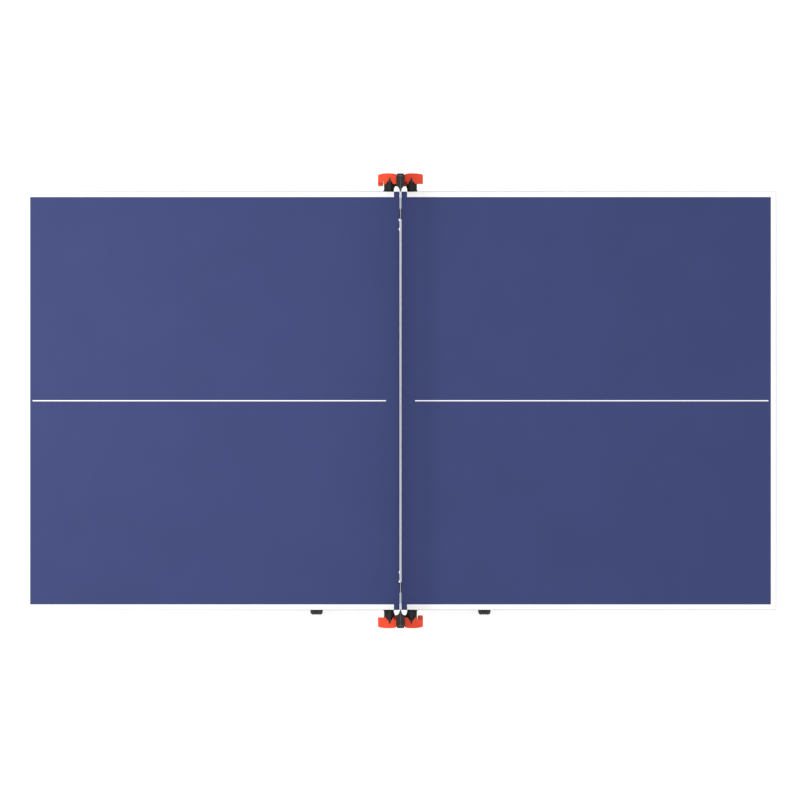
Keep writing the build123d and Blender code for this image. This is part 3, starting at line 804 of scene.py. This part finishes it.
def make_levelling_foot(row, side):
    """A ribbed rubber pad under a hexagon nut and a threaded stem."""
    low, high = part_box(f"levelling_foot_{row}_{side}")
    centre = (low + high) / 2
    radius = (high.x - low.x) / 2
    place = along((0, 0, 1), (centre.x, centre.y, low.z))

    def ribbed(reach, height, angle):
        if 2 * MM < height < 9 * MM and reach > radius * 0.9:
            return reach - 0.6 * MM * (0.5 + 0.5 * math.cos(angle * 30))
        return reach

    bm = bmesh.new()
    pad = [(0, 0.8 * MM), (radius - 5 * MM, 0.8 * MM), (radius - 4 * MM, 0), (radius - 1 * MM, 0)]
    pad += [(radius, 1 * MM), (radius, 2.5 * MM), (radius, 8.5 * MM), (radius - 1.2 * MM, 10.5 * MM)]
    pad += [(radius - 4 * MM, 12 * MM), (10 * MM, 12.2 * MM), (0, 12.2 * MM)]
    lathe(bm, pad, place, 120, shape=ribbed)
    hex_nut(bm, place @ Matrix.Translation((0, 0, 12.3 * MM)), 9 * MM, 7.7 * MM)
    for face in bm.faces:
        face.material_index = 1 if face.calc_center_median().z - low.z > 12.25 * MM else 0
    stem = [(0, 19 * MM)]
    pitch = 1.5 * MM
    turns = int((high.z - low.z - 21 * MM) / pitch)
    for k in range(turns):
        base = 20 * MM + k * pitch
        stem += [(4.2 * MM, base), (5.0 * MM, base + pitch * 0.45), (4.2 * MM, base + pitch * 0.9)]
    stem.append((0, high.z - low.z))
    lathe(bm, stem, place, 24, index=1)
    piece(f"screw_foot_{row}_{side}", bm, [RUBBER, ZINC], f"foot_{row}_{side}",
          [f"levelling_foot_{row}_{side}"], 40)


def make_plunger(side):
    """A steel plunger with a scalloped pull knob."""
    low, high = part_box(f"storage_plunger_{side}")
    centre = (low + high) / 2
    radius = (high.x - low.x) / 2
    length = high.y - low.y
    place = along((0, -1, 0), (centre.x, high.y, centre.z))
    knob = length - 22 * MM

    def scalloped(reach, height, angle):
        if reach > radius * 0.8:
            return reach - 1.1 * MM * (0.5 + 0.5 * math.cos(angle * 12)) ** 2
        return reach

    bm = bmesh.new()
    stem = [(0, 0), (4 * MM, 0), (5 * MM, 1.2 * MM), (5 * MM, knob - 1 * MM), (0, knob)]
    lathe(bm, stem, place, 32, index=1)
    grip = [(0, knob), (8 * MM, knob), (9 * MM, knob + 2 * MM), (radius * 0.95, knob + 4.5 * MM),
            (radius, knob + 6 * MM), (radius, knob + 17 * MM), (radius * 0.93, knob + 20 * MM),
            (radius * 0.7, length), (0, length - 0.8 * MM)]
    lathe(bm, grip, place, 96, shape=scalloped)
    piece(f"pull_knob_{side}", bm, [ORANGE, ZINC], f"plunger_{side}",
          [f"storage_plunger_{side}"], 40)


def make_pedal_ribs(side):
    """Grip ridges across the toe of a brake pedal."""
    low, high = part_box(f"brake_pedal_{side}")
    bm = bmesh.new()
    for k in range(4):
        y = high.y - 6 * MM - k * 5 * MM
        z = high.z - 0.2 * MM
        tube(bm, [(low.x + 4 * MM, y, z), (high.x - 4 * MM, y, z)], 0.9 * MM, 8)
    piece(f"pedal_grip_{side}", bm, [ORANGE], f"pedal_{side}", (), 50)


# Stage.

def make_stage():
    """A pale floor that glows a little, an even white sky, and one soft lamp high on the left."""
    bm = bmesh.new()
    bmesh.ops.create_grid(bm, x_segments=1, y_segments=1, size=40)
    mesh = bpy.data.meshes.new("floor")
    bm.to_mesh(mesh)
    bm.free()
    paint = mottled("floor_paint", (0.9, 0.9, 0.9), 0.8, 20.0, 0.00001, 0.004)
    glow = paint.node_tree.nodes["Principled BSDF"]
    glow.inputs["Emission Color"].default_value = (1, 1, 1, 1)
    glow.inputs["Emission Strength"].default_value = 0.45
    mesh.materials.append(paint)
    floor = bpy.data.objects.new("floor", mesh)
    bpy.context.scene.collection.objects.link(floor)
    world = bpy.data.worlds.new("studio")
    world.use_nodes = True
    world.node_tree.nodes["Background"].inputs["Color"].default_value = (1, 1, 1, 1)
    world.node_tree.nodes["Background"].inputs["Strength"].default_value = 1.06
    bpy.context.scene.world = world
    lamp("key", (-2.3, 0.4, 4.0), 1.0, 60)
    bpy.context.scene.view_settings.view_transform = "Standard"


def lamp(name, place, size, power):
    """A square soft light aimed at the table's centre."""
    data = bpy.data.lights.new(name, "AREA")
    data.size = size
    data.energy = power
    light = bpy.data.objects.new(name, data)
    light.location = place
    aim = Vector((0, 0, HEIGHT)) - Vector(place)
    light.rotation_euler = aim.to_track_quat("-Z", "Y").to_euler()
    bpy.context.scene.collection.objects.link(light)


def make_camera():
    """A very long lens straight above the net, so that the view is almost parallel."""
    data = bpy.data.cameras.new("camera")
    data.lens = 1200
    data.sensor_width = 36
    seen = 2.916
    away = seen * data.lens / data.sensor_width
    data.clip_start = 1.0
    data.clip_end = 2 * away
    camera = bpy.data.objects.new("camera", data)
    camera.location = (-1.8 * MM, 2.7 * MM, HEIGHT + away)
    bpy.context.scene.collection.objects.link(camera)
    bpy.context.scene.camera = camera


make_camera()
make_stage()
dress_nodes()
for side in SIDES:
    make_board(side)
make_net()
make_tape(make_stitches())
make_net_ties()
make_post_screws()
make_cord_cleats()
make_housing_screws()
make_frame_screws()
make_chassis_welds()
for side, sign in SIDES.items():
    make_half_welds(side, sign)
    make_leg_welds(side)
for side in SIDES:
    make_plunger(side)
    make_pedal_ribs(side)
    for row in ROWS:
        make_tyre(row, side)
        make_wheel_centre(row, side)
        make_axle_nuts(row, side)
        make_race(row, side)
        make_levelling_foot(row, side)
